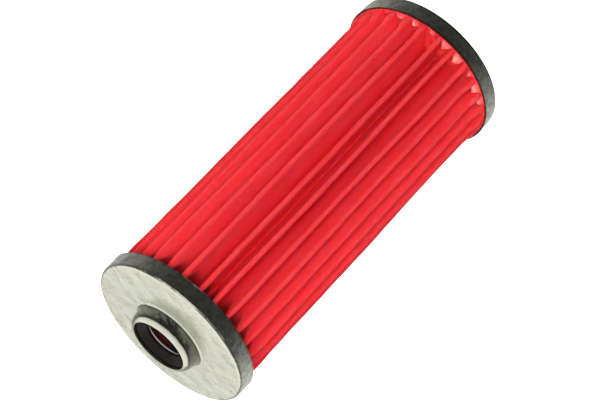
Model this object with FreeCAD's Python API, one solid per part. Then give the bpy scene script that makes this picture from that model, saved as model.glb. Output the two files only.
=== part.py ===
import FreeCAD, Part
import math
import os

# Drop-in cartridge of a small-engine fuel filter, standing on its closed end.
#
# Folded, resin-treated paper is wrapped round a perforated steel tube.  Both ends of the paper are bedded
# in adhesive inside pressed steel caps.  The upper cap has a drawn neck, which holds a rubber seal on a
# pressed steel cup: the filter head's spigot pushes in there, and clean fuel leaves through it.
#
# Frame: +Z is the cartridge's axis, from the closed end to the neck.  The origin is the centre of the
# closed end's flat face.  The paper's glued seam is on the +Y side.  All sizes are in millimetres.

# ---- driving dimensions ----------------------------------------------------------------------------
cap_radius = 18.0            # outside of both end caps
body_length = 85.3           # closed end's face to open end's face
cap_sheet = 0.45             # tinplate of the caps
open_skirt = 3.7             # height of the open cap's skirt
closed_skirt = 3.8           # height of the closed cap's skirt
skirt_bend = 0.3             # inside bend between a cap's face and its skirt

neck_root_radius = 7.8       # outside of the drawn neck where it leaves the face
neck_top_radius = 7.35       # outside of the neck where its wall meets the lip
neck_height = 3.35           # the hole's edge above the open end's face
neck_hole_radius = 6.25      # hole in the curled lip
neck_root_bend = 0.6         # bend from the face up into the neck
neck_lip_bend = 0.75         # inside bend of the curled lip
lip_rise = 0.22              # how far the lip still climbs from the neck's wall to the hole

recess_radius = 9.4          # shallow pressing in the closed end, where the bowl's spring sits
recess_depth = 1.0
recess_bend = 0.5

cup_sheet = 0.4              # sheet of the seal's cup
cup_flange_radius = 10.5
cup_seat = 1.05              # top of the cup's seat above the open end's face
cup_hole_radius = 4.4
cup_collar = 0.75            # depth of the collar turned down round the cup's hole
cup_seat_bend = 0.3
cup_collar_bend = 0.15
slip = 0.05                  # gap between pieces that only touch lightly

seal_hole_radius = 4.3       # the seal's land, which grips the spigot
seal_land = 0.5
seal_rim_radius = 6.0        # where the seal's cone starts, just inside the neck's hole
seal_top_gap = 0.2           # seal's top below the lip's sheet

pleat_count = 27
paper = 0.42                 # thickness of the paper
pleat_tip_radius = 17.0      # outside of the outer folds
pleat_root_radius = 7.9      # inside of the inner folds
fold_inside = 0.15           # inside radius of every fold
seam_flap = 0.3              # how far the paper's two ends run past the fold centre
seam_depth = 3.0             # how deep the glue runs down between the two ends

tube_radius = 7.8            # outside of the perforated tube
tube_sheet = 0.4
tube_hole = 4.0              # diameter of the perforations
tube_rows = 19
tube_margin = 1.2            # plain band at each end of the tube
tube_pitch_angle = 37.5      # degrees between holes in a row
tube_seam_angle = 30.0       # degrees kept plain each side of the lock seam
lock_seam_width = 2.4

open_bed = 2.9               # adhesive's surface below the open end's face
closed_bed = 3.5             # adhesive's surface above the closed end's face
paper_clear = 0.25           # adhesive under the paper's cut edge


# ---- outlines ---------------------------------------------------------------------------------------
def vec(x, y, z=0.0):
    return FreeCAD.Vector(x, y, z)


def rounded_wire(corners):
    """A closed wire through (x, z, radius) corners in the XZ plane, each rounded by a tangent arc."""
    ends = []
    count = len(corners)
    for i, (x, z, radius) in enumerate(corners):
        here = vec(x, 0, z)
        before = vec(corners[i - 1][0], 0, corners[i - 1][1]) - here
        after = vec(corners[(i + 1) % count][0], 0, corners[(i + 1) % count][1]) - here
        before.normalize()
        after.normalize()
        if radius == 0:
            ends.append((here, here, here))
            continue
        half = before.getAngle(after) / 2
        inward = before + after
        inward.normalize()
        reach = radius / math.tan(half)
        middle = here + inward * (radius / math.sin(half) - radius)
        ends.append((here + before * reach, middle, here + after * reach))
    edges = []
    for i, (start, middle, end) in enumerate(ends):
        if (start - end).Length > 1e-6:
            edges.append(Part.Arc(start, middle, end).toShape())
        following = ends[(i + 1) % count][0]
        if (following - end).Length > 1e-6:
            edges.append(Part.makeLine(end, following))
    return Part.Wire(edges)


def turned(corners):
    """The solid that an outline of (radius, height, rounding) corners sweeps round the Z axis."""
    return Part.Face(rounded_wire(corners)).revolve(vec(0, 0), vec(0, 0, 1), 360)


def pressed(corners, sheet):
    """A pressed sheet part: corners (radius, height, inside bend) run along its outer face.

    The sheet lies to the left of the direction of travel.
    """
    points = [(r, z) for r, z, bend in corners]
    runs = []
    for (r0, z0), (r1, z1) in zip(points, points[1:]):
        length = math.hypot(r1 - r0, z1 - z0)
        runs.append(((r1 - r0) / length, (z1 - z0) / length))
    face = [(points[0][0], points[0][1], 0)]
    back = [(points[0][0] - sheet * runs[0][1], points[0][1] + sheet * runs[0][0], 0)]
    for (r, z, bend), (ar, az), (br, bz) in zip(corners[1:-1], runs, runs[1:]):
        turn = ar * bz - az * br
        share = sheet / (1 + ar * br + az * bz)
        back_point = (r - share * (az + bz), z + share * (ar + br))
        left = turn > 0
        face.append((r, z, bend + sheet if left else bend))
        back.append((*back_point, bend if left else bend + sheet))
    last_r, last_z = points[-1]
    face.append((last_r, last_z, 0))
    if last_r > 0:
        back.append((last_r - sheet * runs[-1][1], last_z + sheet * runs[-1][0], 0))
    else:
        back.append((0, last_z + sheet * runs[-1][0], 0))
    return turned(face + back[::-1])


# ---- end caps ---------------------------------------------------------------------------------------
def open_end_cap():
    lip = body_length + neck_height
    return pressed([
        (cap_radius, body_length - open_skirt, 0),
        (cap_radius, body_length, skirt_bend),
        (neck_root_radius, body_length, neck_root_bend),
        (neck_top_radius, lip - lip_rise, neck_lip_bend),
        (neck_hole_radius, lip, 0),
    ], cap_sheet)


def inside_neck(height):
    """Radius at that height of a piece that just clears the neck's tapered wall from inside."""
    taper = (neck_root_radius - neck_top_radius) / (neck_height - lip_rise)
    outside = neck_root_radius - taper * (height - body_length)
    return outside - (cap_sheet + slip) * math.hypot(1, taper)


def closed_end_cap():
    """Drawn upside down, with its sheet to the left of the travel, then turned over."""
    cap = pressed([
        (cap_radius, -closed_skirt, 0),
        (cap_radius, 0, skirt_bend),
        (recess_radius + recess_depth, 0, recess_bend),
        (recess_radius, -recess_depth, recess_bend),
        (0, -recess_depth, 0),
    ], cap_sheet)
    cap.rotate(vec(0, 0), vec(1, 0), 180)
    return cap


# ---- seal and its cup -------------------------------------------------------------------------------
def seal_cup():
    seat = body_length + cup_seat
    flange_top = body_length - cap_sheet - slip
    return pressed([
        (cup_flange_radius, flange_top, 0),
        (inside_neck(flange_top), flange_top, neck_root_bend + cap_sheet + slip),
        (inside_neck(seat), seat, cup_seat_bend),
        (cup_hole_radius, seat, cup_collar_bend),
        (cup_hole_radius, seat - cup_collar, 0),
    ], cup_sheet)


def seal_ring():
    seat = body_length + cup_seat
    top = body_length + neck_height - cap_sheet - seal_top_gap
    return turned([
        (seal_hole_radius, seat, 0),
        (inside_neck(seat), seat, 0),
        (inside_neck(top), top, neck_lip_bend),
        (seal_rim_radius, top, 0),
        (seal_hole_radius, seat + seal_land, 0),
    ])


# ---- perforated tube --------------------------------------------------------------------------------
def tube_ends():
    bottom = recess_depth + cap_sheet + slip
    top = body_length - cap_sheet - slip - cup_sheet - slip
    return bottom, top


def center_tube():
    bottom, top = tube_ends()
    inner = tube_radius - tube_sheet
    wall = Part.makeCylinder(tube_radius, top - bottom, vec(0, 0, bottom))
    wall = wall.cut(Part.makeCylinder(inner, top - bottom, vec(0, 0, bottom)))
    half_seam = math.asin(lock_seam_width / 2 / inner)
    seam_height = top - bottom
    seam_core = Part.makeCylinder(inner - tube_sheet, seam_height, vec(0, 0, bottom))
    seam = Part.makeCylinder(inner, seam_height, vec(0, 0, bottom), vec(0, 0, 1), math.degrees(2 * half_seam))
    seam = seam.cut(seam_core)
    seam.rotate(vec(0, 0), vec(0, 0, 1), 90 - math.degrees(half_seam))
    first = bottom + tube_margin + tube_hole / 2
    last = top - tube_margin - tube_hole / 2
    holes = []
    for row in range(tube_rows):
        height = first + (last - first) * row / (tube_rows - 1)
        stagger = tube_pitch_angle / 2 if row % 2 else 0.0
        angle = tube_seam_angle + stagger
        while angle <= 360 - tube_seam_angle - stagger + 0.01:
            turn = math.radians(90 + angle)
            outward = vec(math.cos(turn), math.sin(turn))
            start = outward * (inner - tube_sheet) + vec(0, 0, height)
            holes.append(Part.makeCylinder(tube_hole / 2, 3 * tube_sheet, start, outward))
            angle += tube_pitch_angle
    return wall.fuse(seam).cut(holes).removeSplitter()


# ---- folded paper -----------------------------------------------------------------------------------
fold_outside = fold_inside + paper
tip_centre = pleat_tip_radius - fold_outside
root_centre = pleat_root_radius + fold_outside
half_pitch = math.pi / pleat_count


def polar(radius, angle):
    return vec(radius * math.cos(angle), radius * math.sin(angle))


def pleat_angle(k):
    return math.pi / 2 + 2 * math.pi * k / pleat_count


def flank(k, side):
    """Fold centres of pleat k's flank on one side (+1 or -1), and its normal away from the pleat."""
    tip = polar(tip_centre, pleat_angle(k))
    root = polar(root_centre, pleat_angle(k) + side * half_pitch)
    across = root - tip
    slope = math.atan2(across.y, across.x)
    lean = math.acos((fold_outside + fold_inside) / across.Length)
    return tip, root, polar(1, slope - side * lean)


def flap_end(k, side, offset):
    """Cut end of the paper at the seam pleat, at an offset from the fold centre along the normal."""
    tip, root, normal = flank(k, side)
    inward = (root - normal * (fold_outside + fold_inside)) - tip
    inward.normalize()
    return tip + normal * offset - inward * seam_flap


def paper_side(at_tip, at_root):
    """Edges of one face of the paper, from one cut end round to the other.

    at_tip and at_root are the face's radii round the outer and inner fold centres.
    """
    edges = []
    here = flap_end(0, 1, at_tip)
    for k in range(pleat_count):
        tip, root, normal = flank(k, 1)
        next_tip, same_root, next_normal = flank(k + 1, -1)
        into_root = root - normal * at_root
        out_of_root = root - next_normal * at_root
        edges.append(Part.makeLine(here, into_root))
        root_point = polar(root_centre - at_root, pleat_angle(k) + half_pitch)
        edges.append(Part.Arc(into_root, root_point, out_of_root).toShape())
        if k + 1 == pleat_count:
            break
        into_tip = next_tip + next_normal * at_tip
        tip_point = polar(tip_centre + at_tip, pleat_angle(k + 1))
        here = next_tip + flank(k + 1, 1)[2] * at_tip
        edges.append(Part.makeLine(out_of_root, into_tip))
        edges.append(Part.Arc(into_tip, tip_point, here).toShape())
    edges.append(Part.makeLine(out_of_root, flap_end(0, -1, at_tip)))
    return edges


def paper_span():
    bottom = recess_depth + cap_sheet + paper_clear
    top = body_length - cap_sheet - slip - cup_sheet - paper_clear
    return bottom, top


def raised(face):
    """A flat face lifted to the paper's lower edge and drawn up to its upper edge."""
    bottom, top = paper_span()
    face.translate(vec(0, 0, bottom))
    return face.extrude(vec(0, 0, top - bottom))


def pleated_paper():
    outside = paper_side(fold_outside, fold_inside)
    inside = paper_side(fold_inside, fold_outside)
    ends = [Part.makeLine(flap_end(0, side, fold_outside), flap_end(0, side, fold_inside)) for side in (1, -1)]
    return raised(Part.Face(Part.Wire(Part.__sortEdges__(outside + inside + ends))))


def seam_glue():
    """Glue between the paper's two ends, with a round bead over their cut edges."""
    outer = {side: flap_end(0, side, fold_outside) for side in (1, -1)}
    inner = {side: flap_end(0, side, fold_inside) for side in (1, -1)}
    deep = {}
    for side in (1, -1):
        tip, root, normal = flank(0, side)
        run = (root - normal * fold_outside) - (tip + normal * fold_inside)
        run.normalize()
        deep[side] = inner[side] + run * seam_depth
    crest = polar(pleat_tip_radius, pleat_angle(0))
    edges = [Part.Arc(outer[1], crest, outer[-1]).toShape()]
    path = [outer[-1], inner[-1], deep[-1], deep[1], inner[1], outer[1]]
    edges += [Part.makeLine(a, b) for a, b in zip(path, path[1:])]
    return raised(Part.Face(Part.Wire(edges)))


# ---- adhesive beds ----------------------------------------------------------------------------------
def open_end_bed(held):
    """Adhesive in the open cap, round the tube's end, the paper's end and the cup's flange."""
    face = body_length - cap_sheet
    under_flange = face - slip - cup_sheet
    bed = turned([
        (tube_radius, body_length - open_bed, 0),
        (cap_radius - cap_sheet, body_length - open_bed, 0),
        (cap_radius - cap_sheet, face, skirt_bend),
        (cup_flange_radius, face, 0),
        (cup_flange_radius, under_flange, 0),
        (tube_radius, under_flange, 0),
    ])
    return bed.cut(held)


def closed_end_bed(held):
    """Adhesive in the closed cap, over the step of its recess."""
    step = cap_sheet * math.tan(math.radians(22.5))
    plateau = recess_depth + cap_sheet
    bed = turned([
        (tube_radius, plateau, 0),
        (recess_radius + step, plateau, recess_bend + cap_sheet),
        (recess_radius + recess_depth + step, cap_sheet, recess_bend),
        (cap_radius - cap_sheet, cap_sheet, skirt_bend),
        (cap_radius - cap_sheet, closed_bed, 0),
        (tube_radius, closed_bed, 0),
    ])
    return bed.cut(held)


def main():
    paper_solid = pleated_paper()
    glue = seam_glue()
    nodes = {
        "open_end_cap": open_end_cap(),
        "closed_end_cap": closed_end_cap(),
        "seal_cup": seal_cup(),
        "seal_ring": seal_ring(),
        "center_tube": center_tube(),
        "pleated_paper": paper_solid,
        "paper_seam_glue": glue,
        "open_end_adhesive": open_end_bed([paper_solid, glue]),
        "closed_end_adhesive": closed_end_bed([paper_solid, glue]),
    }
    os.makedirs("parts", exist_ok=True)
    for name, shape in nodes.items():
        shape.exportStep("parts/" + name + ".step")
        print(name, "solids", len(shape.Solids), "volume", round(shape.Volume, 1))


main()
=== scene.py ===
import math

import bmesh
import bpy
import numpy as np
from mathutils import Matrix, Vector, noise


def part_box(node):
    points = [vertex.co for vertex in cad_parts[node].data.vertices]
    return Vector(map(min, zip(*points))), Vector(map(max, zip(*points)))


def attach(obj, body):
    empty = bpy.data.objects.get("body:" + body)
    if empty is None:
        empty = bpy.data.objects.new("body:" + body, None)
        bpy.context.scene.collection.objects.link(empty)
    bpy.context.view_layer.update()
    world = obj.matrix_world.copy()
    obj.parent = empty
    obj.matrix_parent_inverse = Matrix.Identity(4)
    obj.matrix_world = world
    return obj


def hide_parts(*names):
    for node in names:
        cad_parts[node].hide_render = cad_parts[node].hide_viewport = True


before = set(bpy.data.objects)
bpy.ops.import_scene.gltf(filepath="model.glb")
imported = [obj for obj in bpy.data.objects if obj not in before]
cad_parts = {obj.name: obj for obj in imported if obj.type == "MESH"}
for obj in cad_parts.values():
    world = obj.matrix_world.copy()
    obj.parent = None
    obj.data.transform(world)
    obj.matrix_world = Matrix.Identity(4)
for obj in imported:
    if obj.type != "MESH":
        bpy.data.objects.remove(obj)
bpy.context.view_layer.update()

MM = 0.001
SEED = 27
rng = np.random.default_rng(SEED)
noise.seed_set(SEED)

# ---- sizes: the boxes are the frame's, in metres, and every other length is in millimetres ------------
CAP_LO, CAP_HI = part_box("open_end_cap")
BASE_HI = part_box("closed_end_cap")[1]
PAPER_LO, PAPER_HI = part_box("pleated_paper")
SEAL_LO, SEAL_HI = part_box("seal_ring")
OPEN_BED_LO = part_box("open_end_adhesive")[0]
CLOSED_BED_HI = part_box("closed_end_adhesive")[1]

LIP_Z = CAP_HI.z / MM
SKIRT_Z = CAP_LO.z / MM
BASE_RIM_Z = BASE_HI.z / MM
SEAT_Z = SEAL_LO.z / MM
SEAL_TOP_Z = SEAL_HI.z / MM

CAP_R = 18.0
SHEET = 0.45
SKIRT_BEND = 0.3
NECK_HEIGHT = 3.35
FACE_Z = LIP_Z - NECK_HEIGHT
NECK_ROOT_R = 7.8
NECK_TOP_R = 7.35
NECK_HOLE_R = 6.25
NECK_ROOT_BEND = 0.6
NECK_LIP_BEND = 0.75
LIP_RISE = 0.22
RECESS_R = 9.4
RECESS_DEPTH = 1.0
RECESS_BEND = 0.5

SEAL_HOLE_R = 4.3
SEAL_RIM_R = 6.0
SEAL_LAND = 0.5
SEAL_EDGE_BEND = 0.05
SEAL_RIM_BEND = 0.12
SEAL_MOUTH_BEND = 0.3

CUP_HOLE_R = 4.4
CUP_COLLAR = 0.75
CUP_FLANGE_R = 10.5
CUP_SHEET = 0.4
CUP_SEAT_BEND = 0.3
CUP_HOLE_BEND = 0.15
SLIP = 0.05                  # clearance between pieces that fit together

PLEATS = 27
PAPER_T = 0.42
FOLD_IN = 0.15               # radius inside a fold
TIP_R = 17.0
ROOT_R = 7.9
TUBE_R = 7.8
SEAM_FLAP = 0.3
LEAN = math.radians(2.5)     # the inner folds sit a little to one side of the outer ones


# ---- mesh helpers -----------------------------------------------------------------------------------
def new_object(name, verts, faces, material, sharp=38):
    """A smooth mesh object, with hard edges where its faces turn by more than that many degrees."""
    mesh = bpy.data.meshes.new(name)
    mesh.from_pydata([tuple(v) for v in verts], [], [tuple(f) for f in faces])
    mesh.validate()
    mesh.shade_smooth()
    mesh.set_sharp_from_angle(angle=math.radians(sharp))
    mesh.materials.append(material)
    piece = bpy.data.objects.new(name, mesh)
    bpy.context.scene.collection.objects.link(piece)
    return piece


def grid_faces(rows, columns, wrap_rows=False, wrap_columns=False):
    """Quads of a rows x columns grid of vertices, row by row."""
    faces = []
    for i in range(rows if wrap_rows else rows - 1):
        for j in range(columns if wrap_columns else columns - 1):
            a, b = i, (i + 1) % rows
            c, d = j, (j + 1) % columns
            faces.append((a * columns + c, a * columns + d, b * columns + d, b * columns + c))
    return faces


def full_turn(count):
    """Angles of that many equal steps round Z."""
    return [2 * math.pi * k / count for k in range(count)]


def rounded(corners, steps=7):
    """Points (r, z) of a closed outline through (r, z, radius) corners, each rounded by an arc."""
    points = []
    count = len(corners)
    for i, (r, z, radius) in enumerate(corners):
        here = Vector((r, z))
        if radius == 0:
            points.append(here)
            continue
        before = (Vector(corners[i - 1][:2]) - here).normalized()
        after = (Vector(corners[(i + 1) % count][:2]) - here).normalized()
        half = before.angle(after) / 2
        centre = here + (before + after).normalized() * (radius / math.sin(half))
        reach = radius / math.tan(half)
        start = here + before * reach - centre
        end = here + after * reach - centre
        total = start.angle(end)
        for k in range(steps + 1):
            t = k / steps
            points.append(centre + (start * math.sin((1 - t) * total) + end * math.sin(t * total))
                          / math.sin(total))
    return [(p.x, p.y) for p in points]


def divided(points, longest):
    """The closed outline with its long runs cut up, so that a displacement has vertices to move.

    A run along the axis stays whole.
    """
    on_axis = 1e-6
    result = []
    for i, (r, z) in enumerate(points):
        next_r, next_z = points[(i + 1) % len(points)]
        cuts = max(1, math.ceil(math.hypot(next_r - r, next_z - z) / longest))
        if r <= on_axis and next_r <= on_axis:
            cuts = 1
        result += [(r + (next_r - r) * k / cuts, z + (next_z - z) * k / cuts) for k in range(cuts)]
    return result


def pressed(corners, sheet):
    """Outline of a pressed sheet: (r, z, inside bend) corners along its outer face, sheet to the left."""
    runs = []
    for (r0, z0, _), (r1, z1, _) in zip(corners, corners[1:]):
        runs.append(Vector((r1 - r0, z1 - z0)).normalized())
    first, last = corners[0], corners[-1]
    face = [(first[0], first[1], 0)]
    back = [(first[0] - sheet * runs[0].y, first[1] + sheet * runs[0].x, 0)]
    for (r, z, bend), a, b in zip(corners[1:-1], runs, runs[1:]):
        share = sheet / (1 + a.dot(b))
        left = a.x * b.y - a.y * b.x > 0
        face.append((r, z, bend + sheet if left else bend))
        back.append((r - share * (a.y + b.y), z + share * (a.x + b.x), bend if left else bend + sheet))
    face.append((last[0], last[1], 0))
    back.append((last[0] - sheet * runs[-1].y, last[1] + sheet * runs[-1].x, 0))
    return rounded(face + back[::-1])


def lathe(name, outline, material, segments, longest, shift=None):
    """Turns a closed (r, z) outline in millimetres round Z.  shift(point) gives a vertex's new place."""
    outline = divided(outline, longest)
    verts = []
    for r, z in outline:
        for angle in full_turn(segments):
            verts.append((r * math.cos(angle), r * math.sin(angle), z))
    faces = grid_faces(len(outline), segments, wrap_rows=True, wrap_columns=True)
    if shift:
        verts = [shift(Vector(v)) for v in verts]
    piece = new_object(name, np.array(verts) * MM, faces, material)
    tidy(piece)
    return piece


def tidy(piece):
    """Merges doubled vertices, drops empty faces and turns the normals outwards."""
    merge_within, empty_below = 2e-7, 1e-8      # metres
    bm = bmesh.new()
    bm.from_mesh(piece.data)
    bmesh.ops.remove_doubles(bm, verts=bm.verts, dist=merge_within)
    bmesh.ops.dissolve_degenerate(bm, edges=bm.edges, dist=empty_below)
    bmesh.ops.recalc_face_normals(bm, faces=bm.faces)
    bm.to_mesh(piece.data)
    bm.free()


def place(piece, slot, *nodes):
    """Lets a piece ride on the root and names the nodes that it replaces, which are hidden.  slot is not
    used.
    """
    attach(piece, "root")
    if nodes:
        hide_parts(*nodes)


# ---- materials --------------------------------------------------------------------------------------
class Nodes:
    """Short calls for the nodes of one node tree.  A value may be a plain one or another node's socket."""

    def __init__(self, tree):
        self.nodes = tree.nodes
        self.links = tree.links

    def feed(self, value, socket):
        if isinstance(value, bpy.types.NodeSocket):
            self.links.new(value, socket)
        else:
            socket.default_value = value

    def math(self, operation, a, b=0.0):
        node = self.nodes.new("ShaderNodeMath")
        node.operation = operation
        self.feed(a, node.inputs[0])
        self.feed(b, node.inputs[1])
        return node.outputs[0]

    def range(self, value, low, high, to_low=0.0, to_high=1.0, kind="LINEAR"):
        """Carries low to to_low and high to to_high, and holds the value at those ends."""
        node = self.nodes.new("ShaderNodeMapRange")
        node.interpolation_type = kind
        for key, number in (("From Min", low), ("From Max", high), ("To Min", to_low), ("To Max", to_high)):
            node.inputs[key].default_value = number
        self.links.new(value, node.inputs["Value"])
        return node.outputs["Result"]

    def split(self, vector):
        node = self.nodes.new("ShaderNodeSeparateXYZ")
        self.links.new(vector, node.inputs[0])
        return node.outputs[0], node.outputs[1], node.outputs[2]


class Shader(Nodes):
    """A node material, with textures in metres from the frame's origin."""

    def __init__(self, name):
        self.material = bpy.data.materials.new(name)
        self.material.use_nodes = True
        super().__init__(self.material.node_tree)
        self.bsdf = self.nodes["Principled BSDF"]
        geometry = self.nodes.new("ShaderNodeNewGeometry")
        self.coords = geometry.outputs["Position"]
        self.normal = geometry.outputs["Normal"]

    def set(self, **values):
        """Sets or links the shader's own sockets; an underscore stands for a space."""
        for key, value in values.items():
            self.feed(value, self.bsdf.inputs[key.replace("_", " ")])

    def radius(self):
        """Distance from the Z axis."""
        x, y, _ = self.split(self.coords)
        return self.math("SQRT", self.math("ADD", self.math("POWER", x, 2.0), self.math("POWER", y, 2.0)))

    def stretched(self, scale, rotation=(0, 0, 0)):
        """The coordinates, scaled along each axis and turned."""
        node = self.nodes.new("ShaderNodeMapping")
        node.inputs["Scale"].default_value = scale
        node.inputs["Rotation"].default_value = rotation
        self.links.new(self.coords, node.inputs["Vector"])
        return node.outputs["Vector"]

    def noise(self, scale, detail=3.0, rough=0.5, vector=None, distortion=0.0):
        node = self.nodes.new("ShaderNodeTexNoise")
        node.inputs["Scale"].default_value = scale
        node.inputs["Detail"].default_value = detail
        node.inputs["Roughness"].default_value = rough
        node.inputs["Distortion"].default_value = distortion
        self.links.new(vector or self.coords, node.inputs["Vector"])
        return node.outputs["Fac"]

    def ramp(self, value, stops):
        """Colours by value, from (position, colour) stops."""
        node = self.nodes.new("ShaderNodeValToRGB")
        ramp = node.color_ramp
        while len(ramp.elements) < len(stops):
            ramp.elements.new(0.5)
        for element, (position, colour) in zip(ramp.elements, stops):
            element.position = position
            element.color = (*colour, 1)
        self.links.new(value, node.inputs["Fac"])
        return node.outputs["Color"]

    def mix(self, factor, a, b, blend="MIX"):
        """Mixes two colours; they are the node's inputs 6 and 7, and its output 2 is their mixture."""
        node = self.nodes.new("ShaderNodeMix")
        node.data_type = "RGBA"
        node.blend_type = blend
        self.feed(factor, node.inputs[0])
        for colour, socket in ((a, node.inputs[6]), (b, node.inputs[7])):
            self.feed((*colour, 1) if isinstance(colour, tuple) else colour, socket)
        return node.outputs[2]

    def bump(self, height, distance, strength, after=None):
        node = self.nodes.new("ShaderNodeBump")
        node.inputs["Distance"].default_value = distance
        node.inputs["Strength"].default_value = strength
        self.links.new(height, node.inputs["Height"])
        if after:
            self.links.new(after, node.inputs["Normal"])
        return node.outputs["Normal"]


def shade(colour, share):
    return tuple(min(1, c * share) for c in colour)


def tinplate(name, tone, rough_low, rough_high, dull_from=None):
    """Tinned sheet with a cloudy grain, the same all over where dull_from is None.

    Otherwise a face is duller where the upright share of its normal is above dull_from, the walls are
    wavier and mottled with a darker spangle, and the drawn wall of the neck carries a painted dark
    reflection.
    """
    cool, warm = (0.95, 1.0, 0.955), (1.0, 0.975, 0.95)
    # Painted reflection: this dark tone goes on the neck's wall in place of the dark surround it reflects.
    painted_reflection_tone = (0.06, 0.055, 0.045)
    spangle_tone = (0.34, 0.37, 0.32)
    dark, light, fleck = shade(tone, 0.88), shade(tone, 1.05), shade(tone, 0.62)
    s = Shader(name)
    cloud = s.noise(420, 4, 0.6)
    wave = s.noise(260, 2, 0.5, distortion=0.6)
    grain = s.noise(2600, 3, 0.6)
    speckle = s.noise(5200, 2, 0.6)
    tint = s.noise(90, 2, 0.5)
    base = s.ramp(cloud, [(0.30, dark), (0.55, tone), (0.75, light)])
    base = s.mix(1.0, base, s.ramp(tint, [(0.38, cool), (0.62, warm)]), "MULTIPLY")
    base = s.mix(0.30, base, s.ramp(grain, [(0.32, dark), (0.68, light)]))
    base = s.mix(s.range(speckle, 0.60, 0.72, 0, 0.35), base, fleck)
    mixed = s.math("ADD", s.math("MULTIPLY", cloud, 0.6), s.math("MULTIPLY", grain, 0.4))
    rough = s.range(mixed, 0.35, 0.65, rough_low, rough_high)
    metallic = 1.0
    if dull_from is not None:
        upright = s.math("ABSOLUTE", s.split(s.normal)[2])
        flat = s.range(upright, dull_from, 0.995)
        # Painted reflection: the neck's steep wall is darkened here, painting in the dark reflection it
        # shows.
        neck = s.range(s.radius(), (NECK_ROOT_R + 0.9) * MM, (NECK_ROOT_R + 0.1) * MM)
        painted_neck_reflection = s.math("MULTIPLY", s.range(upright, 0.70, 0.35), neck)
        base = s.mix(s.math("MULTIPLY", painted_neck_reflection, 0.55), base, painted_reflection_tone)
        spangle = s.range(s.noise(640, 3, 0.7, distortion=0.5), 0.46, 0.60, 0.0, 0.55)
        wall = s.range(upright, 0.5, 0.3)
        base = s.mix(s.math("MULTIPLY", spangle, wall), base, spangle_tone)
        metallic = s.range(flat, 0, 1, 1.0, 0.86)
        rough = s.math("ADD", rough, s.math("MULTIPLY", flat, 0.12))
        wave = s.math("MULTIPLY", wave, s.range(flat, 0, 1, 1.5, 1.0))
    waved = s.bump(wave, 0.00022, 0.6)
    clouded = s.bump(cloud, 0.00005, 0.4, waved)
    s.set(Base_Color=base, Metallic=metallic, Roughness=rough, Normal=s.bump(grain, 0.000010, 0.5, clouded))
    return s.material


def paper_material():
    """Resin-treated filter paper: fibrous and mottled red, with painted shade towards the outer folds.

    The crests themselves carry a little painted highlight.  A painted shadow of the open cap's rim falls
    on the folds below it, and it reaches further where the paper is more deeply folded in.
    """
    deep, red, bright = (0.92, 0.038, 0.056), (0.96, 0.053, 0.072), (0.98, 0.070, 0.090)
    streak_tone = (0.89, 0.032, 0.048)
    fibre_tone = (0.98, 0.090, 0.085)
    # The next three tones are painted light: a painted highlight on the crests, painted shade over the outer
    # folds, and a painted shadow below the open cap's rim.
    painted_highlight_tone = (0.98, 0.135, 0.125)
    painted_shade_tone = (0.30, 0.015, 0.015)
    painted_shadow_tone = (0.22, 0.010, 0.014)
    highlight_depth, fold_shade_depth, shadow_depth = 0.45, 3.0, 0.35
    shadow_slope, shadow_blur = 2.6, 1.6
    shadow_fades_from, shadow_ends = 2.5, 5.5
    s = Shader("filter_paper")
    blotch = s.noise(240, 4, 0.6, distortion=0.3)
    streak = s.noise(520, 3, 0.6, vector=s.stretched((1, 1, 0.28)))
    fibre = s.noise(1500, 4, 0.7, vector=s.stretched((1, 1, 0.5), (0.5, 0.3, 0)))
    fine = s.noise(4200, 2, 0.6)
    base = s.ramp(blotch, [(0.30, deep), (0.52, red), (0.72, bright)])
    base = s.mix(s.range(streak, 0.40, 0.66, 0.0, 0.5), streak_tone, base)
    base = s.mix(s.range(fibre, 0.50, 0.74, 0.0, 0.6), base, fibre_tone)
    radius = s.radius()
    # Painted highlight: the outermost crests are paler, standing in for the light that catches them.
    painted_crest_highlight = s.range(radius, (TIP_R - highlight_depth) * MM, TIP_R * MM, 0.0, 0.25)
    base = s.mix(painted_crest_highlight, base, painted_highlight_tone)
    # Painted shade: the outer 3 mm of the folds are darkened to even out the light the crests catch.
    painted_fold_shade = s.range(radius, (TIP_R - fold_shade_depth) * MM, TIP_R * MM, 0.0, 0.30)
    base = s.mix(painted_fold_shade, base, painted_shade_tone)
    # Painted shadow: the open cap's rim shades the folds below it, longer where the valleys are deeper, and
    # that shadow is painted into the colour here.
    sunk = s.math("SUBTRACT", (TIP_R - shadow_depth) * MM, radius)
    away = s.math("SUBTRACT", SKIRT_Z * MM, s.split(s.coords)[2])
    reach = s.math("SUBTRACT", s.math("MULTIPLY", sunk, shadow_slope), away)
    near = s.range(away, shadow_ends * MM, shadow_fades_from * MM)
    painted_shadow = s.math("MULTIPLY", s.range(reach, 0.0, shadow_blur * MM), near)
    base = s.mix(painted_shadow, base, painted_shadow_tone)
    s.set(Base_Color=base, Roughness=s.range(fine, 0.3, 0.7, 0.62, 0.86), Specular_IOR_Level=0.35)
    s.set(Subsurface_Weight=0.9, Subsurface_Scale=0.0014, Subsurface_Radius=(1.0, 0.15, 0.12))
    s.set(Normal=s.bump(fine, 0.00002, 0.5, s.bump(fibre, 0.00010, 0.6)))
    return s.material


def cut_edge_material():
    """Bare steel where the sheet was cut: dark, with a little brown."""
    s = Shader("cut_edge")
    patch = s.noise(900, 3, 0.6)
    colour = s.ramp(patch, [(0.35, (0.05, 0.038, 0.032)), (0.65, (0.16, 0.12, 0.10))])
    s.set(Base_Color=colour, Metallic=1.0, Roughness=s.range(patch, 0.3, 0.7, 0.4, 0.6))
    return s.material


def rubber_material():
    """Moulded black rubber: faint bloom and a fine tool texture."""
    s = Shader("seal_rubber")
    bloom = s.noise(500, 4, 0.6)
    fine = s.noise(5200, 2, 0.5)
    colour = s.ramp(bloom, [(0.35, (0.004, 0.0035, 0.003)), (0.7, (0.011, 0.009, 0.008))])
    s.set(Base_Color=colour, Specular_IOR_Level=0.10, Roughness=s.range(bloom, 0.3, 0.7, 0.26, 0.44))
    s.set(Normal=s.bump(fine, 0.000015, 0.5))
    return s.material


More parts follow.
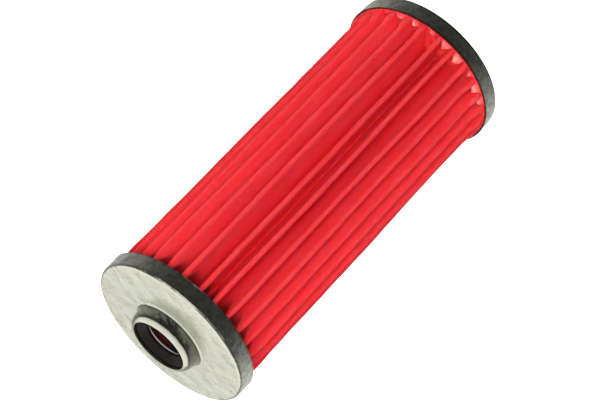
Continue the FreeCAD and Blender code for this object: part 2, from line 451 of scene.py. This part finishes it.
def adhesive_material():
    """Set plastisol: stained by the red paper, and paler pink where it was squeezed out of a cap."""
    stained_low, stained_high = (0.52, 0.020, 0.022), (0.74, 0.060, 0.060)
    pale_low, pale_mid, pale_high = (0.82, 0.08, 0.08), (0.80, 0.20, 0.18), (0.81, 0.33, 0.29)
    pale_from, pale_to = 0.1, 0.9       # millimetres past the rim of a cap
    s = Shader("adhesive")
    patch = s.noise(520, 4, 0.6, distortion=0.3)
    fine = s.noise(1900, 3, 0.6)
    middle = (CAP_LO.z + BASE_HI.z) / 2
    from_middle = s.math("ABSOLUTE", s.math("SUBTRACT", s.split(s.coords)[2], middle))
    proud = s.range(from_middle, middle - (BASE_RIM_Z + pale_from) * MM, middle - (BASE_RIM_Z + pale_to) * MM)
    stained = s.ramp(patch, [(0.35, stained_low), (0.65, stained_high)])
    pale = s.ramp(patch, [(0.36, pale_low), (0.52, pale_mid), (0.68, pale_high)])
    s.set(Base_Color=s.mix(proud, stained, pale), Specular_IOR_Level=0.3)
    s.set(Roughness=s.range(fine, 0.3, 0.7, 0.35, 0.6), Normal=s.bump(fine, 0.00005, 0.6))
    return s.material


def glue_material():
    """The line of glue along the paper's seam: red-brown and uneven."""
    s = Shader("seam_glue")
    patch = s.noise(480, 4, 0.6)
    fine = s.noise(2500, 3, 0.6)
    colour = s.ramp(patch, [(0.35, (0.42, 0.05, 0.03)), (0.65, (0.70, 0.16, 0.10))])
    s.set(Base_Color=colour, Roughness=s.range(fine, 0.3, 0.7, 0.25, 0.5), Normal=s.bump(patch, 0.0001, 0.6))
    return s.material


CAP_STEEL = tinplate("cap_steel", (0.83, 0.83, 0.71), 0.11, 0.22, dull_from=0.94)
CUP_STEEL = tinplate("cup_steel", (0.80, 0.78, 0.74), 0.15, 0.28)
TUBE_STEEL = tinplate("tube_steel", (0.66, 0.65, 0.62), 0.30, 0.50)
PAPER = paper_material()
CUT_EDGE = cut_edge_material()
RUBBER = rubber_material()
ADHESIVE = adhesive_material()
GLUE = glue_material()


# ---- pressed caps -----------------------------------------------------------------------------------
WAVE_FROM_R = 15.0           # nothing within this radius follows the skirt's wave
SKIRT_INSET = 0.09
SKIRT_WANDER, SKIRT_RIPPLE = 0.03, 0.02
RIM_WAVE = 0.10
BELL_HEIGHT = 0.25           # the skirt bells out over this much of its free end
FACE_WAVE = 0.02
CAP_SEGMENTS = 288
LINER_SEGMENTS = 200


def skirt_wave(point, free_edge):
    """The skirt wanders a little and bells out at its free edge, and nothing within WAVE_FROM_R moves."""
    broad = noise.noise_vector(Vector((point.x, point.y, 0)) * 0.16)
    fine = noise.noise_vector(point * 0.9)
    r = math.hypot(point.x, point.y)
    weight = min(1, max(0, (r - WAVE_FROM_R) / (CAP_R - WAVE_FROM_R)))
    bell = max(0.0, 1 - abs(point.z - free_edge) / BELL_HEIGHT)
    inset = (SKIRT_INSET + SKIRT_WANDER * broad.x + SKIRT_RIPPLE * fine.x) * (1 - bell)
    pull = 1 - weight * inset / max(r, 1)
    return Vector((point.x * pull, point.y * pull, point.z + weight * RIM_WAVE * broad.z))


def darken_cut_edge(piece, edge_z):
    """Gives the flat cut end of a skirt its own material."""
    piece.data.materials.append(CUT_EDGE)
    for face in piece.data.polygons:
        if abs(face.normal.z) > 0.8 and abs(face.center.z / MM - edge_z) < BELL_HEIGHT:
            face.material_index = 1


def build_open_cap():
    face_band = (FACE_Z - 0.2, FACE_Z + 0.3)

    def shift(point):
        """The face is a little uneven, the neck above it is true, and the skirt wanders."""
        if point.z <= face_band[0]:
            return skirt_wave(point, SKIRT_Z)
        uneven = noise.noise(point * 0.35) * FACE_WAVE
        return point + Vector((0, 0, uneven if point.z < face_band[1] else 0))
    outline = pressed([
        (CAP_R, SKIRT_Z, 0),
        (CAP_R, FACE_Z, SKIRT_BEND),
        (NECK_ROOT_R, FACE_Z, NECK_ROOT_BEND),
        (NECK_TOP_R, LIP_Z - LIP_RISE, NECK_LIP_BEND),
        (NECK_HOLE_R, LIP_Z, 0),
    ], SHEET)
    cap = lathe("open_cap", outline, CAP_STEEL, CAP_SEGMENTS, 0.25, shift)
    darken_cut_edge(cap, SKIRT_Z)
    place(cap, "cap_steel", "open_end_cap")


def build_closed_cap():
    outline = pressed([
        (CAP_R, -BASE_RIM_Z, 0),
        (CAP_R, 0, SKIRT_BEND),
        (RECESS_R + RECESS_DEPTH, 0, RECESS_BEND),
        (RECESS_R, -RECESS_DEPTH, RECESS_BEND),
        (0.0, -RECESS_DEPTH, 0),
    ], SHEET)
    outline = [(max(0.0, r), -z) for r, z in outline]

    def shift(point):
        return point if point.z < 0.3 else skirt_wave(point, BASE_RIM_Z)
    cap = lathe("closed_cap", outline, CAP_STEEL, CAP_SEGMENTS, 0.35, shift)
    darken_cut_edge(cap, BASE_RIM_Z)
    place(cap, "cap_steel", "closed_end_cap")


def inside_neck(height):
    """Radius at that height of a piece that just clears the neck's tapered wall from inside."""
    taper = (NECK_ROOT_R - NECK_TOP_R) / (NECK_HEIGHT - LIP_RISE)
    outside = NECK_ROOT_R - taper * (height - FACE_Z)
    return outside - (SHEET + SLIP) * math.hypot(1, taper)


def build_seal():
    outline = rounded([
        (SEAL_HOLE_R, SEAT_Z, SEAL_EDGE_BEND),
        (inside_neck(SEAT_Z), SEAT_Z, 0),
        (inside_neck(SEAL_TOP_Z), SEAL_TOP_Z, NECK_LIP_BEND),
        (SEAL_RIM_R, SEAL_TOP_Z, SEAL_RIM_BEND),
        (SEAL_HOLE_R, SEAT_Z + SEAL_LAND, SEAL_MOUTH_BEND),
    ], 5)
    place(lathe("rubber_seal", outline, RUBBER, LINER_SEGMENTS, 0.35), "seal_rubber", "seal_ring")


def build_cup():
    flange = FACE_Z - SHEET - SLIP
    outline = pressed([
        (CUP_FLANGE_R, flange, 0),
        (inside_neck(flange), flange, NECK_ROOT_BEND + SHEET + SLIP),
        (inside_neck(SEAT_Z), SEAT_Z, CUP_SEAT_BEND),
        (CUP_HOLE_R, SEAT_Z, CUP_HOLE_BEND),
        (CUP_HOLE_R, SEAT_Z - CUP_COLLAR, 0),
    ], CUP_SHEET)
    place(lathe("seal_cup_pressing", outline, CUP_STEEL, LINER_SEGMENTS, 0.5), "cup_steel", "seal_cup")


# ---- folded paper -----------------------------------------------------------------------------------
HALF_T = PAPER_T / 2
FOLD_MID = FOLD_IN + HALF_T
TIP_C = TIP_R - FOLD_MID - HALF_T
ROOT_C = ROOT_R + FOLD_MID + HALF_T
PITCH = 2 * math.pi / PLEATS
TIP_STEPS, FLANK_STEPS, ROOT_STEPS = 6, 7, 4
END_ZONE, END_LEVELS, MIDDLE_LEVELS = 9, 16, 34

TIP_SLACK = 0.05                                    # the outer folds stop short of TIP_R by this much,
FLARE_Z, FLARE_RUN, FLARE_OUT = 7.6, 1.9, 0.50      # stand out below this height over the closed cap,
TUCK_Z, TUCK_RUN, TUCK_SHARE = 4.6, 0.9, 0.6        # are tucked in again where they enter that cap,
PINCH_BELOW, PINCH_RUN, PINCH_IN = 4.0, 4.5, 0.35   # and draw in from this far below the open cap

# How far the folds stray, in degrees for angles and in millimetres for radii.  TIP_TURN and TIP_DEPTH are
# drawn once for each fold, and the others vary smoothly along its height.
TIP_TURN, TIP_SWAY, TIP_WOBBLE, ROOT_SWAY = 0.5, 0.45, 0.06, 0.5
TIP_DEPTH, TIP_RIPPLE = 0.04, 0.05

SOFT_WAVE, CRUMPLE = 0.07, 0.035                    # how far the sheet stands off its true line
FREE_FROM, FREE_RUN = 0.8, 1.5                      # outside ROOT_R by this much, and fully after the run


def smooth_noise(count, waves, size):
    """A smooth random line of count values, with that many waves and that typical size."""
    knots = rng.normal(0, size, waves + 4)
    x = np.linspace(1, waves + 2, count)
    i = np.floor(x).astype(int)
    t = x - i
    t = t * t * (3 - 2 * t)
    return knots[i] * (1 - t) + knots[np.minimum(i + 1, waves + 3)] * t


def unit(a):
    """Unit vectors at those angles."""
    return np.stack([np.cos(a), np.sin(a)], -1)


def along(start, end):
    """Unit vectors from start to end."""
    run = end - start
    return run / np.linalg.norm(run, axis=-1, keepdims=True)


def paper_levels():
    """Heights of the paper's cross-sections, closer together at both ends."""
    low, high = PAPER_LO.z / MM, PAPER_HI.z / MM
    ends = np.linspace(0, END_ZONE, END_LEVELS)
    middle = np.linspace(END_ZONE, high - low - END_ZONE, MIDDLE_LEVELS)[1:-1]
    return np.concatenate([low + ends, low + middle, (high - ends)[::-1]])


def eased(x):
    """Smooth step from 0 to 1."""
    x = np.clip(x, 0, 1)
    return x * x * (3 - 2 * x)


def pleat_field(levels):
    """Angles and radii of the outer folds, and angles of the inner folds, each as (levels, folds)."""
    count = len(levels)
    tips = np.zeros((count, PLEATS + 1))
    tip_r = np.zeros((count, PLEATS + 1))
    roots = np.zeros((count, PLEATS))
    flare = eased((FLARE_Z - levels) / FLARE_RUN) - TUCK_SHARE * eased((TUCK_Z - levels) / TUCK_RUN)
    pinch = eased((levels - (SKIRT_Z - PINCH_BELOW)) / PINCH_RUN)
    for k in range(PLEATS + 1):
        tips[:, k] = math.pi / 2 + PITCH * k
        tip_r[:, k] = TIP_C - TIP_SLACK + FLARE_OUT * flare - PINCH_IN * pinch
        if 0 < k < PLEATS:
            tips[:, k] += math.radians(rng.normal(0, TIP_TURN)) + np.radians(smooth_noise(count, 3, TIP_SWAY))
            tips[:, k] += np.radians(smooth_noise(count, 12, TIP_WOBBLE))
            tip_r[:, k] += rng.normal(0, TIP_DEPTH) + smooth_noise(count, 5, TIP_RIPPLE)
    for k in range(PLEATS):
        roots[:, k] = math.pi / 2 + PITCH * (k + 0.5) + np.radians(smooth_noise(count, 4, ROOT_SWAY))
        if 0 < k < PLEATS - 1:
            roots[:, k] -= LEAN
    return tips, tip_r, roots


def fold_normals(tip, root, side):
    """Angle of the flank's outward normal, for the flank that touches both folds on that side."""
    across = root - tip
    length = np.linalg.norm(across, axis=-1)
    slope = np.arctan2(across[..., 1], across[..., 0])
    return slope - side * np.arccos(np.clip(2 * FOLD_MID / length, -1, 1))


def arc_angles(start, end, steps, turn):
    """Angles from start to end, counter-clockwise where turn is 1, as (levels, steps)."""
    delta = np.mod((end - start) * turn, 2 * math.pi) * turn
    return start[:, None] + delta[:, None] * np.linspace(0, 1, steps + 1)[None, 1:]


def straight(start, end, shares, normal):
    """Points from start to end at those shares of the way, and their normals."""
    points = start[:, None] + (end - start)[:, None] * shares[None, :, None]
    return points, np.repeat(normal[:, None], len(shares), 1)


def bent(centre, angles, outside):
    """Points round a fold's centre, and normals that point away from it where outside is 1."""
    return centre[:, None] + FOLD_MID * unit(angles), outside * unit(angles)


def paper_midline(levels):
    """Midline points and outward normals of the folded sheet, as (levels, points, 2)."""
    tips, tip_r, roots = pleat_field(levels)
    tip = tip_r[..., None] * unit(tips)
    root = ROOT_C * unit(roots)
    shares = np.linspace(0, 1, FLANK_STEPS + 1) ** 1.2
    runs = []
    for k in range(PLEATS):
        down = fold_normals(tip[:, k], root[:, k], 1)
        up = fold_normals(tip[:, k + 1], root[:, k], -1)
        leave = tip[:, k] + FOLD_MID * unit(down)
        reach = root[:, k] - FOLD_MID * unit(down)
        depart = root[:, k] - FOLD_MID * unit(up)
        arrive = tip[:, k + 1] + FOLD_MID * unit(up)
        if k == 0:
            leave = leave - SEAM_FLAP * along(leave, reach)
        if k == PLEATS - 1:
            arrive = arrive + SEAM_FLAP * along(depart, arrive)
        runs.append(straight(leave, reach, shares if k == 0 else shares[1:], unit(down)))
        runs.append(bent(root[:, k], arc_angles(down + math.pi, up + math.pi, ROOT_STEPS, -1), -1))
        runs.append(straight(depart, arrive, (1 - shares[::-1])[1:], unit(up)))
        if k < PLEATS - 1:
            onward = fold_normals(tip[:, k + 1], root[:, k + 1], 1)
            runs.append(bent(tip[:, k + 1], arc_angles(up, onward, TIP_STEPS, 1), 1))
    return np.concatenate([r[0] for r in runs], 1), np.concatenate([r[1] for r in runs], 1)


def crinkle(x, y, z):
    """How far the sheet stands off its true line there: long soft waves and a finer crumple."""
    point = Vector((x * 0.55, y * 0.55, z * 0.22))
    return SOFT_WAVE * noise.noise(point) + CRUMPLE * noise.noise(point * 2.7)


def build_paper():
    """The folded sheet stands off its true line outside the inner folds, which stay against the tube."""
    levels = paper_levels()
    points, normals = paper_midline(levels)
    rows, columns = points.shape[:2]
    free = eased((np.linalg.norm(points, axis=-1) - ROOT_R - FREE_FROM) / FREE_RUN)
    stand = np.array([[crinkle(x, y, z) for x, y in row] for row, z in zip(points, levels)])
    points = points + normals * (stand * free)[..., None]
    outer = points + normals * HALF_T
    inner = points - normals * HALF_T
    z = np.repeat(levels[:, None], columns, 1)[..., None]
    ring = np.concatenate([np.concatenate([outer, z], -1), np.concatenate([inner, z], -1)[:, ::-1]], 1)
    width = 2 * columns
    faces = grid_faces(rows, width, wrap_columns=True)
    for row, order in ((0, 1), (rows - 1, -1)):
        for j in range(columns - 1):
            quad = (row * width + j, row * width + width - 1 - j, row * width + width - 2 - j,
                    row * width + j + 1)
            faces.append(quad[::order])
    piece = new_object("folded_paper", ring.reshape(-1, 3) * MM, faces, PAPER, 60)
    tidy(piece)
    place(piece, "filter_paper", "pleated_paper")


# ---- adhesive beds ----------------------------------------------------------------------------------
BED_SEGMENTS = 540
BED_GAP = 0.05               # between a bed and the skirt round it
BED_MID_R = 12               # a bed's vertices are closer together outside this radius
RIDGE_R, RIDGE_WIDTH = 16.5, 0.8
RIDGE_HEIGHT, RIDGE_LUMP, RIDGE_ROUGH = 0.95, 1.6, 0.9
CREEP_HEIGHT, CREEP_WIDTH = 0.2, 0.5
LUMP_HEIGHT, ROUGH_HEIGHT = 0.10, 0.04
SQUEEZE_MID, SQUEEZE_HALF, SQUEEZE_FADE = -97, 58, 12       # degrees from +X
SQUEEZE_LEAST = 0.12


def squeezed_out(angle):
    """Share of the adhesive that was squeezed out at that angle from +X: most of it is on one side."""
    offset = math.degrees(math.remainder(angle - math.radians(SQUEEZE_MID), 2 * math.pi))
    return max(SQUEEZE_LEAST, min(1.0, (SQUEEZE_HALF - abs(offset)) / SQUEEZE_FADE))


def bed(name, node, level, back, up):
    """A bed with an uneven free face at that level: it creeps up the skirt, and stands in the pleats.

    back lists its (r, z) corners from the wall inwards, and up is +1 where the free face looks to +Z.
    """
    wall = CAP_R - SHEET - BED_GAP
    radii = np.concatenate([np.linspace(TUBE_R, BED_MID_R, 6), np.linspace(BED_MID_R, wall, 26)[1:]])
    verts = []
    for r in radii:
        for angle in full_turn(BED_SEGMENTS):
            x, y = r * math.cos(angle), r * math.sin(angle)
            valley = 0.5 - 0.5 * math.cos((angle - math.pi / 2) * PLEATS)
            lump = noise.noise(Vector((x * 0.28, y * 0.28, level)))
            rough = noise.noise(Vector((x * 1.3, y * 1.3, level + 5)))
            creep = math.exp(-((wall - r) / CREEP_WIDTH) ** 2)
            ridge = math.exp(-((RIDGE_R - r) / RIDGE_WIDTH) ** 2) * valley
            height = CREEP_HEIGHT * creep + LUMP_HEIGHT * lump + ROUGH_HEIGHT * rough
            stands = max(0.0, RIDGE_HEIGHT + RIDGE_LUMP * lump + RIDGE_ROUGH * rough)
            height += ridge * squeezed_out(angle) * stands
            verts.append((x, y, level + up * height))
    for r, z in [(wall, back[0][1])] + back + [(TUBE_R, back[-1][1])]:
        for angle in full_turn(BED_SEGMENTS):
            verts.append((r * math.cos(angle), r * math.sin(angle), z))
    faces = grid_faces(len(verts) // BED_SEGMENTS, BED_SEGMENTS, wrap_rows=True, wrap_columns=True)
    piece = new_object(name, np.array(verts) * MM, faces, ADHESIVE, 50)
    tidy(piece)
    place(piece, "adhesive", node)


def build_beds():
    """The open end's bed clears the seal cup's flange, and the closed end's bed clears the spring recess."""
    under_face = FACE_Z - SHEET
    under_flange = under_face - SLIP - CUP_SHEET
    flange_edge = CUP_FLANGE_R + SLIP
    step = [(flange_edge, under_face), (flange_edge, under_flange)]
    bed("open_adhesive", "open_end_adhesive", OPEN_BED_LO.z / MM, step, -1)
    ramp_foot = RECESS_R + RECESS_DEPTH + SHEET
    ramp = [(ramp_foot, SHEET), (ramp_foot - RECESS_DEPTH, SHEET + RECESS_DEPTH)]
    bed("closed_adhesive", "closed_end_adhesive", CLOSED_BED_HI.z / MM, ramp, 1)


def finish_cad_nodes():
    """The tube and the seam's glue show as the frame has them, in materials of their own."""
    for name, material in (("center_tube", TUBE_STEEL), ("paper_seam_glue", GLUE)):
        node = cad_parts[name]
        node.data.materials.clear()
        node.data.materials.append(material)


SENSOR = 36                  # the sensor and the lens are in millimetres
LENS = 128.94
CAMERA_TARGET = Vector((-0.000354, 0, 0.044378))
CAMERA_DISTANCE = 0.43664
CAMERA_ELEVATION = 26.95
CAMERA_ROLL = -136.40
LAMP_TARGET = Vector((0, 0, 0.045))
FLOOR_SIZE = 6
FLOOR_Z = -0.0002

# name, azimuth, elevation, distance, width, height, power
LAMPS = [
    ("key", 10, 50, 0.6, 0.18, 0.18, 1.6),
    ("front_fill", -1, 24, 0.8, 0.35, 0.35, 5.6),
    ("back_fill", 180, 40, 0.8, 0.6, 0.4, 4.2),
    ("right_fill", 118, 25, 0.8, 0.4, 0.4, 2.6),
    ("left_fill", -118, 25, 0.8, 0.4, 0.4, 2.6),
]


def outwards(azimuth, elevation):
    """Direction from the cartridge towards a viewer or a lamp at those angles."""
    a, e = math.radians(azimuth), math.radians(elevation)
    return Vector((math.sin(a) * math.cos(e), -math.cos(a) * math.cos(e), math.sin(e)))


def camera():
    data = bpy.data.cameras.new("camera")
    data.sensor_width = SENSOR
    data.lens = LENS
    data.clip_start, data.clip_end = 0.01, 20
    cam = bpy.data.objects.new("camera", data)
    bpy.context.scene.collection.objects.link(cam)
    back = outwards(0, CAMERA_ELEVATION)
    level = (-back).to_track_quat("-Z", "Y").to_matrix()
    roll = Matrix.Rotation(math.radians(CAMERA_ROLL), 3, "Z")
    turned = level @ roll
    cam.matrix_world = Matrix.Translation(CAMERA_TARGET + back * CAMERA_DISTANCE) @ turned.to_4x4()
    bpy.context.scene.camera = cam


def stage():
    """A pale floor, just under the part, that shows as nearly white and lights nothing else."""
    s = Shader("floor")
    colour = s.ramp(s.noise(30), [(0.3, (0.90, 0.90, 0.90)), (0.7, (0.94, 0.94, 0.94))])
    s.set(Base_Color=colour, Roughness=0.8, Emission_Strength=1.0, Emission_Color=(1, 1, 1, 1))
    bpy.ops.mesh.primitive_plane_add(size=FLOOR_SIZE, location=(0, 0, FLOOR_Z))
    floor = bpy.context.object
    floor.name = "floor"
    floor.data.materials.append(s.material)
    floor.visible_glossy = False
    floor.visible_diffuse = False


def area(name, azimuth, elevation, distance, width, height, power):
    """A soft lamp aimed at the cartridge's middle.  It has no reflection; the surround has them all."""
    data = bpy.data.lights.new(name, "AREA")
    data.shape = "RECTANGLE"
    data.size, data.size_y = width, height
    data.energy = power
    lamp = bpy.data.objects.new(name, data)
    bpy.context.scene.collection.objects.link(lamp)
    back = outwards(azimuth, elevation)
    lamp.location = LAMP_TARGET + back * distance
    lamp.rotation_euler = (-back).to_track_quat("-Z", "Y").to_euler()
    lamp.visible_glossy = False


def surround():
    """A white world that is bright overhead and, below that, bright behind and most of all on the -X side.

    It is dark in front, brighter below the horizon than just above it, and fades again straight down.
    """
    behind_share, behind_falloff = 0.80, 2.2
    aside_least, aside_more = 0.55, 0.5
    below_least, below_more = 0.3, 0.7
    fade_least, fade_more = 0.15, 0.85
    overhead_share, everywhere = 0.74, 0.04
    world = bpy.data.worlds.new("studio")
    world.use_nodes = True
    w = Nodes(world.node_tree)
    x, y, z = w.split(w.nodes.new("ShaderNodeTexCoord").outputs["Generated"])
    facing = w.math("MULTIPLY", w.math("ADD", y, 1.0), 0.5)
    behind = w.math("MULTIPLY", w.math("POWER", facing, behind_falloff), behind_share)
    aside = w.math("ADD", w.range(x, 1.0, -1.0, 0.0, aside_more, "SMOOTHSTEP"), aside_least)
    below = w.math("ADD", w.range(z, 0.15, -0.15, 0.0, below_more, "SMOOTHSTEP"), below_least)
    overhead = w.range(z, 0.32, 0.45, 0.0, overhead_share, "SMOOTHSTEP")
    fade = w.math("ADD", w.range(z, -0.85, -0.60, 0.0, fade_more, "SMOOTHSTEP"), fade_least)
    low = w.math("MULTIPLY", w.math("MULTIPLY", behind, aside), below)
    total = w.math("ADD", w.math("ADD", low, overhead), everywhere)
    w.feed(w.math("MULTIPLY", total, fade), w.nodes["Background"].inputs["Color"])
    bpy.context.scene.world = world


def light():
    """Soft studio light."""
    surround()
    for lamp in LAMPS:
        area(*lamp)
    bpy.context.scene.view_settings.view_transform = "Standard"


build_open_cap()
build_closed_cap()
build_seal()
build_cup()
build_paper()
build_beds()
finish_cad_nodes()
camera()
stage()
light()
